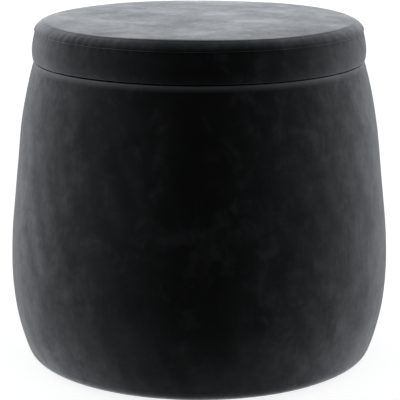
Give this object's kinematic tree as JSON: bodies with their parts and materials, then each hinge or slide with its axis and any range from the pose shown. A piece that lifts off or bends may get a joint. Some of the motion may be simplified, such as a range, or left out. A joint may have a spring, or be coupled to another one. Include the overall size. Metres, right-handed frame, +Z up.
{
  "type": "round storage pouf with lift-off lid",
  "caption": "Round barrel-shaped storage pouf in black velvet, with a padded lift-off lid that drops into the mouth on a locating disc.",
  "frame": {"origin": "centre of the footprint on the floor, under the glides", "axes": "+Z up along the pouf's axis; the front is at -Y, and the hoop's joint and the cover's seam are at the back, +Y; +X to the right seen from the front"},
  "size_m": [0.3996, 0.3996, 0.3625],
  "materials": {
    "velvet": "matte",
    "lining_cloth": "matte",
    "non_woven": "matte",
    "foam": "matte",
    "wadding": "matte",
    "mdf": "matte",
    "plywood": "matte",
    "card": "matte",
    "glide_plastic": "satin",
    "steel_wire": "satin",
    "screw_steel": "satin"
  },
  "bodies": {
    "pouf_body": {"base_board": "mdf", "drum_wall": "plywood", "wall_joint_batten": "plywood", "rim_ring": "mdf", "side_foam": "foam", "body_cover": "velvet", "tack_strip": "card", "lining_wall": "lining_cloth", "floor_card": "card", "lining_floor": "lining_cloth", "dust_cover": "non_woven", "foot_glides": "glide_plastic", "glide_nails": "steel_wire", "base_hoop_staples": "steel_wire", "rim_hoop_staples": "steel_wire", "mouth_staples": "steel_wire", "cover_staples": "steel_wire", "dust_cover_staples": "steel_wire"},
    "lid": {"lid_board": "mdf", "lid_foam": "foam", "lid_wadding": "wadding", "lid_top_panel": "velvet", "lid_side_band": "velvet", "lid_plug": "mdf", "lid_plug_cover": "lining_cloth", "lid_plug_screws": "screw_steel", "lid_staples": "steel_wire"}
  },
  "joints": [
    {"name": "lid_lift", "type": "slide", "parent": "pouf_body", "child": "lid", "axis": [0, 0, 1], "range_m": [0, 0.2]}
  ]
}
